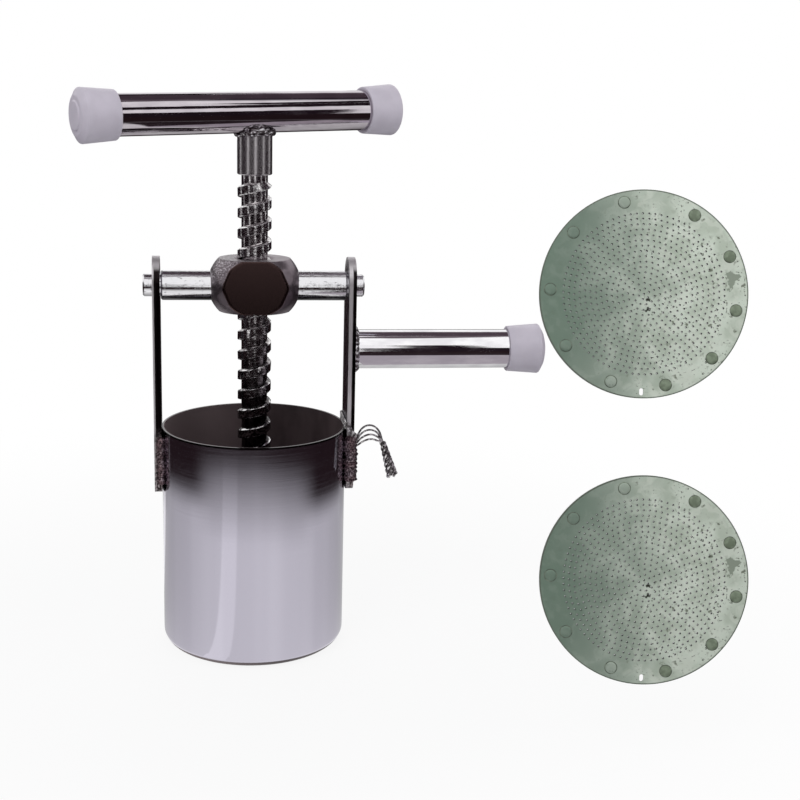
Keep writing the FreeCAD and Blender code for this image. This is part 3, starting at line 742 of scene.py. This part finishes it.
bead = join_parts(beads)

# Stainless weld metal, brushed clean: bright, with dark flecks where the brush didn't reach.
bright_weld, tree, shader, place = new_finish("stainless_weld_metal_brushed", "#b5b0b4", 1.0, 0.16)
flecks = fade(tree, grain(tree, place, (1.6, 1.6, 1.6), 4.0), 0.42, 0.64)
tone = add(tree, "ShaderNodeMix", {0: flecks, 6: "#4a4245", 7: "#d9d6da"}, data_type="RGBA").outputs[2]
surface(tree, shader, tone, None, flecks, 0.35, 0.3)
put_on(new_mesh("tee_weld_bead", *bead), bright_weld, "screw", "weld_steel", "tee_weld")


# Handle caps. Moulded polythene ferrules that flare towards a chamfered end with a low button
# where the mould's gate was, pushed on to the tube's ends.
def rounded(profile, radius, steps=4):
    """A lathe profile with its inner corners rounded, as far as its edges leave room."""
    made = [profile[0]]
    for before, corner, after in zip(profile, profile[1:], profile[2:]):
        corner_at = Vector(corner)
        to_before, to_after = Vector(before) - corner_at, Vector(after) - corner_at
        cut = min(radius, to_before.length * 0.45, to_after.length * 0.45)
        start = corner_at + to_before.normalized() * cut
        end = corner_at + to_after.normalized() * cut
        for step in range(steps + 1):
            share = step / steps
            made.append(tuple(start * (1 - share) ** 2 + corner_at * 2 * share * (1 - share) + end
                              * share ** 2))
    return made + [profile[-1]]


cap_profile = rounded([(10.7, 0.4), (11.4, 0.0), (12.5, 0.0), (13.8, 17.6), (9.75, 20.0), (7.5, 20.0),
                       (7.1, 20.8), (0.02, 20.8)], 0.6)
cap_profile = [(radius * MM, distance * MM) for radius, distance in cap_profile]

# White polythene, moulded: a soft lilac-grey sheen, very slightly cloudy.
cap_plastic, tree, shader, place = new_finish("polythene_moulded", "#b4adb8", 0.0, 0.42)
shader.inputs["Subsurface Weight"].default_value = 0.12
shader.inputs["Subsurface Radius"].default_value = (0.002, 0.002, 0.0022)
cloud = grain(tree, place, (9, 9, 9), 3.0)
fine = grain(tree, place, (0.7, 0.7, 0.7), 3.0)
tone = fade(tree, cloud, 0.3, 0.7, "#b9b3bf", "#c0bac6")
surface(tree, shader, tone, fade(tree, fine, 0.3, 0.7, 0.38, 0.52), fine, 0.08)

cap_face = 20.8 * MM
side_z = 165.0 * MM
for name, body, axis, reach, middle, node in (
        ("tee_cap_left", "screw", -tee_axis, 97.5 * MM, tee_centre, "tee_handle_cap_left"),
        ("tee_cap_right", "screw", tee_axis, 85.5 * MM, tee_centre, "tee_handle_cap_right"),
        ("side_cap", "frame", Vector((1, 0, 0)), 160.5 * MM, Vector((0, 0, side_z)), "side_handle_cap")):
    mouth = middle + axis * (reach - cap_face)
    cap = new_mesh(name, *lathe(cap_profile, 72, axis, mouth))
    cap.data.set_sharp_from_angle(angle=math.radians(60))
    put_on(cap, cap_plastic, body, "cap_plastic", node)


# Side handle. The same tube, welded to the right arm's face, for the other hand to hold the
# press still. Its bead goes all the way round.
side_centre = Vector((arm_high.x, 0, side_z))
bead_path = []
for step in range(180):
    angle = 2 * math.pi * step / 180
    bead_path.append(side_centre + Vector((0.5 * MM, (tube_radius + 0.5 * MM) * math.cos(angle),
                                           (tube_radius + 0.5 * MM) * math.sin(angle))))
bead = weld_bead(bead_path, 1.8 * MM, True, 2.6 * MM, 53)
put_on(new_mesh("side_weld_bead", *bead), bright_weld, "frame", "weld_steel", "side_handle_weld")


# Tie wire. Four strands of soft steel wire, looped round the right arm just above the rim, led out
# in a hoop and twisted into a tail. Towards its end the tail is thicker, as if doubled back.
def strand(name, points, widths, radius, samples=6):
    """A round wire through the points, wider by each one's width, as a mesh's points and faces."""
    curve = bpy.data.curves.new(name, "CURVE")
    curve.dimensions = "3D"
    curve.bevel_depth = radius
    curve.bevel_resolution = 3
    curve.resolution_u = samples
    curve.use_fill_caps = True
    spline = curve.splines.new("NURBS")
    spline.points.add(len(points) - 1)
    for point, target, width in zip(spline.points, points, widths):
        point.co = (*target, 1.0)
        point.radius = width
    spline.order_u = 3
    spline.use_endpoint_u = True
    holder = bpy.data.objects.new(name, curve)
    bpy.context.scene.collection.objects.link(holder)
    bpy.context.view_layer.update()
    made = bpy.data.meshes.new_from_object(holder.evaluated_get(bpy.context.evaluated_depsgraph_get()))
    result = [v.co.copy() for v in made.vertices], [tuple(p.vertices) for p in made.polygons]
    bpy.data.objects.remove(holder)
    bpy.data.curves.remove(curve)
    bpy.data.meshes.remove(made)
    return result


wire_radius = 0.55 * MM
gap = wire_radius + 0.25 * MM
inner_x, outer_x = arm_low.x - gap, arm_high.x + gap
edge_y = arm_half + gap
strands = []
knot = Vector((outer_x + 16.2 * MM, -6.25 * MM, 112.3 * MM))
tail_lean = math.radians(17.0)
tail_down = Vector((math.sin(tail_lean), 0.05, -math.cos(tail_lean))).normalized()
tail_side = tail_down.cross(Vector((0, 1, 0))).normalized()
tail_front = tail_down.cross(tail_side)
for index in range(4):
    lift = (index - 1.5) * 1.15 * MM
    high, low = 124.9 * MM + lift, 118.7 * MM + lift
    leave = -6.25 * MM + (index - 1.5) * 0.9 * MM
    crest = 3.2 * MM + 1.3 * MM * index
    route = [Vector((outer_x, leave + 4 * MM, low)), Vector((outer_x, edge_y * 0.8, low)),
             Vector((outer_x, edge_y, low)), Vector((outer_x - 1 * MM, edge_y + 0.2 * MM, low)),
             Vector((inner_x + 1 * MM, edge_y + 0.2 * MM, high)), Vector((inner_x, edge_y, high)),
             Vector((inner_x, edge_y * 0.8, high)), Vector((inner_x, -edge_y * 0.8, high)),
             Vector((inner_x, -edge_y, high)), Vector((inner_x + 1 * MM, -edge_y - 0.2 * MM, high)),
             Vector((outer_x - 1 * MM, -edge_y - 0.2 * MM, low)), Vector((outer_x, -edge_y, low)),
             Vector((outer_x + 0.4 * MM, -edge_y * 0.8, low - 2 * MM)),
             Vector((outer_x + 1.0 * MM, leave, low - 5.5 * MM)),
             Vector((outer_x + 4 * MM, leave, low - 6 * MM + crest)),
             Vector((outer_x + 9 * MM, leave, low - 4 * MM + crest)),
             Vector((outer_x + 14 * MM, leave, low - 5 * MM + crest * 0.7))]
    widths = [1.0] * len(route)
    turns, steps = 1.5, 26
    for step in range(steps + 1):
        share = step / steps
        angle = 2 * math.pi * (turns * share + index / 4)
        spread_out = (1.2 + 0.95 * share) * MM
        route.append(knot + tail_down * (20.0 * MM * share - 1 * MM) + tail_side * spread_out
                     * math.cos(angle) + tail_front * spread_out * math.sin(angle))
        widths.append(1.1 + 1.2 * share)
    strands.append(strand("strand", route, widths, wire_radius))
wire = new_mesh("tie_wire_twisted", *join_parts(strands))

# Soft steel wire, drawn: dull grey with patches of bright wear.
wire_steel, tree, shader, place = new_finish("steel_wire_drawn", "#8c898b", 1.0, 0.28)
wear = fade(tree, grain(tree, place, (1.8, 1.8, 1.8), 4.0), 0.42, 0.62)
tone = add(tree, "ShaderNodeMix", {0: wear, 6: "#6b6768", 7: "#ebe8e9"}, data_type="RGBA").outputs[2]
surface(tree, shader, tone, fade(tree, wear, 0.0, 1.0, 0.45, 0.28))
put_on(wire, wire_steel, "frame", "wire_steel", "tie_wire")


# Dies. Perforated sheet on a backing ring, spot-welded together round the edge, with a small oval
# hole near the rim. The holes are punched in rings about the centre one, and are drawn narrower at
# the back, so that they show dark. No other piece mirrors the dies.
die_radius = 48.0 * MM
sheet_thickness = 1.0 * MM
field_radius = 37.0 * MM
hole_rings = 15
hole_radius = 0.54 * MM
hole_back_radius = 0.14 * MM
weld_angles = (103.6, 58.6, 25.0, -8.7, -41.9, -75.1, -109.2, -145.0, 178.7, 140.4)
weld_ring = 43.0 * MM
die_lean = math.radians(13.4)
die_turn = math.radians(8.8)
die_stance = Matrix.Rotation(-die_turn, 4, "Z") @ Matrix.Rotation(math.radians(90) - die_lean, 4, "X")


def loop(curve, points):
    """Adds a closed outline through the points to a flat curve."""
    spline = curve.splines.new("POLY")
    spline.points.add(len(points) - 1)
    for point, (x, y) in zip(spline.points, points):
        point.co = (x, y, 0, 1)
    spline.use_cyclic_u = True


def circle(centre_x, centre_y, radius, steps):
    """Points on a circle."""
    return [(centre_x + radius * math.cos(2 * math.pi * i / steps),
             centre_y + radius * math.sin(2 * math.pi * i / steps)) for i in range(steps)]


sheet = bpy.data.curves.new("die_sheet", "CURVE")
sheet.dimensions = "2D"
sheet.fill_mode = "BOTH"
sheet.extrude = sheet_thickness / 2
loop(sheet, circle(0, 0, die_radius, 144))
centres = []
for ring in range(hole_rings + 1):
    count = max(1, round(5.5 * ring))
    for index in range(count):
        angle = 2 * math.pi * (index + 0.35 * (ring % 3)) / count
        radius = field_radius * ring / hole_rings
        loop(sheet, circle(radius * math.cos(angle), radius * math.sin(angle), hole_radius, 8))
        centres.append(Vector((radius * math.cos(angle), radius * math.sin(angle), 0)))
hole_centres = kdtree.KDTree(len(centres))
for index, centre in enumerate(centres):
    hole_centres.insert(centre, index)
hole_centres.balance()
slot_half = 0.7 * MM
slot_radius = 0.95 * MM
slot_y = -45.0 * MM
slot_points = []
for end_y, first_angle in ((slot_y + slot_half, 0.0), (slot_y - slot_half, math.pi)):
    for step in range(17):
        angle = first_angle + math.pi * step / 16
        slot_points.append((slot_radius * math.cos(angle), end_y + slot_radius * math.sin(angle)))
loop(sheet, slot_points)
sheet_holder = bpy.data.objects.new("die_sheet", sheet)
bpy.context.scene.collection.objects.link(sheet_holder)
bpy.context.view_layer.update()
sheet_made = sheet_holder.evaluated_get(bpy.context.evaluated_depsgraph_get())
sheet_mesh = bpy.data.meshes.new_from_object(sheet_made)
bpy.data.objects.remove(sheet_holder)
sheet_points = []
for vertex in sheet_mesh.vertices:
    front_point = Vector((vertex.co.x, vertex.co.y, 0))
    hole_at, _, away = hole_centres.find(front_point)
    if vertex.co.z < 0 and away < 1.2 * hole_radius:
        front_point = hole_at + (front_point - hole_at) * (hole_back_radius / hole_radius)
    sheet_points.append(front_point + Vector((0, 0, vertex.co.z - sheet_thickness / 2)))
sheet_faces = [tuple(p.vertices) for p in sheet_mesh.polygons]

# Tinned sheet steel, stained: grey-green, smooth and darker on the left, pale and blotched with
# grime on the right. The holes' walls are painted dark as painted shade, black on the right. A smudge
# near the right rim, two dark blots by the centre and a darker line round the rim are marks of use.
die_steel, tree, shader, place = new_finish("sheet_steel_tinned_stained", "#98a394", 0.35, 0.42)
parts = add(tree, "ShaderNodeSeparateXYZ", {"Vector": place})
off_middle = add(tree, "ShaderNodeMath", {0: parts.outputs["Y"]}, operation="ABSOLUTE").outputs[0]
slant = add(tree, "ShaderNodeMath", {0: off_middle, 1: 0.13}, operation="MULTIPLY").outputs[0]
wander = fade(tree, grain(tree, place, (24, 24, 24), 2.0), 0.3, 0.7, -0.006, 0.006)
across = add(tree, "ShaderNodeMath", {0: parts.outputs["X"], 1: slant}, operation="ADD").outputs[0]
across = add(tree, "ShaderNodeMath", {0: across, 1: wander}, operation="ADD").outputs[0]
pale_side = fade(tree, across, -0.034, 0.030)
base_tone = fade(tree, across, -0.046, -0.012, "#6d8072", "#79887c")
pale_tone = fade(tree, grain(tree, place, (13, 13, 13), 3.0), 0.36, 0.64, "#b7c2b3", "#cfd9cc")
base_tone = add(tree, "ShaderNodeMix", {0: pale_side, 6: base_tone, 7: pale_tone},
                data_type="RGBA").outputs[2]


def lay_over(tone, pattern, strength, colour):
    """Lays a colour over a tone where a pattern is, more on the pale side of the die."""
    on_side = fade(tree, pale_side, 0.0, 1.0, 0.12 * strength, strength)
    shown = add(tree, "ShaderNodeMath", {0: pattern, 1: on_side}, operation="MULTIPLY").outputs[0]
    return add(tree, "ShaderNodeMix", {0: shown, 6: tone, 7: colour}, data_type="RGBA").outputs[2]


for span, detail, swirl, low, high, strength, colour in ((6, 5.0, 0.8, 0.48, 0.62, 0.42, "#d6dcd1"),
                                                         (2.6, 5.0, 0.5, 0.56, 0.7, 0.3, "#858d7e"),
                                                         (3.6, 3.0, 0.0, 0.62, 0.72, 0.85, "#59604f")):
    pattern = fade(tree, grain(tree, place, (span, span, span), detail, swirl), low, high)
    base_tone = lay_over(base_tone, pattern, strength, colour)
spots = fade(tree, grain(tree, place, (1.3, 1.3, 1.3), 2.0), 0.62, 0.68)
dirty = fade(tree, grain(tree, place, (13, 13, 13), 2.0), 0.48, 0.58)
specks = add(tree, "ShaderNodeMath", {0: spots, 1: dirty}, operation="MULTIPLY").outputs[0]
base_tone = lay_over(base_tone, specks, 0.9, "#2f3328")
smudge = add(tree, "ShaderNodeVectorMath", {0: place, 1: (0.0405, 0.0065, 0.0)},
             operation="DISTANCE").outputs["Value"]
frayed = fade(tree, grain(tree, place, (4, 4, 4), 3.0), 0.2, 0.8, -0.0025, 0.0025)
smudge = add(tree, "ShaderNodeMath", {0: smudge, 1: frayed}, operation="ADD").outputs[0]
base_tone = fade(tree, smudge, 0.0034, 0.0028, base_tone, "#8d9789")
wobble = fade(tree, grain(tree, place, (1.6, 1.6, 1.6), 2.0), 0.2, 0.8, -0.0007, 0.0007)
for blot_at in ((0.0021, -0.0025, 0.0), (0.0018, -0.0072, 0.0)):
    blot = add(tree, "ShaderNodeVectorMath", {0: place, 1: blot_at}, operation="DISTANCE").outputs["Value"]
    blot = add(tree, "ShaderNodeMath", {0: blot, 1: wobble}, operation="ADD").outputs[0]
    base_tone = fade(tree, blot, 0.0012, 0.0006, base_tone, "#23261d")
from_centre = add(tree, "ShaderNodeVectorMath", {0: place}, operation="LENGTH").outputs["Value"]
base_tone = fade(tree, from_centre, die_radius - 0.7 * MM, die_radius - 0.3 * MM, base_tone, "#5c665a")
in_field = fade(tree, from_centre, 0.040, 0.039)
below_front = add(tree, "ShaderNodeMath", {0: fade(tree, parts.outputs["Z"], -0.00006, -0.0002),
                                           1: in_field}, operation="MULTIPLY").outputs[0]
in_hole = add(tree, "ShaderNodeMath", {0: fade(tree, parts.outputs["Z"], -0.00098, -0.00092),
                                       1: below_front}, operation="MULTIPLY").outputs[0]
# Painted shade: the holes' walls are painted dark green-grey on the left and black on the right.
hole_painted_shade = add(tree, "ShaderNodeMix", {0: pale_side, 6: "#4b574e", 7: "#0e100c"},
                data_type="RGBA").outputs[2]
tone = add(tree, "ShaderNodeMix", {0: in_hole, 6: base_tone, 7: hole_painted_shade}, data_type="RGBA").outputs[2]
mottle = grain(tree, place, (5, 5, 5), 4.0)
surface(tree, shader, tone, fade(tree, mottle, 0.3, 0.7, 0.5, 0.36), mottle, 0.12)

# The dark ring where a spot weld's electrode sank in, oxide and painted shade of its groove, and
# the grime that darkens the welds' faces on the pale side. The other faces are as the sheet round them.
grimy_face, tree, shader, place = new_finish("sheet_steel_weld_grime", "#74806c", 0.35, 0.42)
cloud = fade(tree, grain(tree, place, (2.5, 2.5, 2.5), 4.0), 0.4, 0.65)
tone = add(tree, "ShaderNodeMix", {0: cloud, 6: "#6f7b68", 7: "#83907c"}, data_type="RGBA").outputs[2]
surface(tree, shader, tone)
# Oxide and painted shade: the groove round each weld is painted dark.
oxide_and_groove_shade, tree, shader, place = new_finish("sheet_steel_weld_oxide_and_painted_shade", "#5a6453", 0.3, 0.45)
cloud = fade(tree, grain(tree, place, (2.5, 2.5, 2.5), 4.0), 0.4, 0.65)
tone = add(tree, "ShaderNodeMix", {0: cloud, 6: "#4a5346", 7: "#7b8676"}, data_type="RGBA").outputs[2]
surface(tree, shader, tone)
spot_profile = [(2.95, 0.0), (2.8, 0.16), (2.6, 0.12), (2.5, 0.2), (1.8, 0.3), (0.02, 0.34)]
dark_ring_rows = 2
spot_profile = [(radius * MM, distance * MM) for radius, distance in spot_profile]
spot_sides = 32

for name, centre in (("upper", Vector((171.8, -135.5, 217.7)) * MM),
                     ("lower", Vector((170.7, -166.1, 89.9)) * MM)):
    body = name + "_die"
    stance = Matrix.Translation(centre) @ die_stance
    plate = new_mesh(name + "_die_sheet", sheet_points, sheet_faces, smooth=False)
    plate.matrix_world = stance
    plate.visible_glossy = False
    put_on(plate, die_steel, body, "die_sheet", name + "_die_plate")
    spots_made = []
    for angle in weld_angles:
        turn = math.radians(angle)
        at = Vector((weld_ring * math.cos(turn), weld_ring * math.sin(turn), 0))
        spots_made.append(lathe(spot_profile, spot_sides, start=at))
    welds = new_mesh(name + "_die_spot_welds", *join_parts(spots_made))
    welds.matrix_world = stance
    welds.visible_glossy = False
    put_on(welds, die_steel, body, "die_sheet")
    welds.data.materials.append(oxide_and_groove_shade)
    welds.data.materials.append(grimy_face)
    faces_each = (len(spot_profile) - 1) * spot_sides + 2
    for face in welds.data.polygons:
        row = face.index % faces_each // spot_sides
        plain_face = 2 if abs(weld_angles[face.index // faces_each]) < 80 else 0
        face.material_index = 1 if row < dark_ring_rows else plain_face
    dress(name + "_die_ring", die_steel).visible_glossy = False
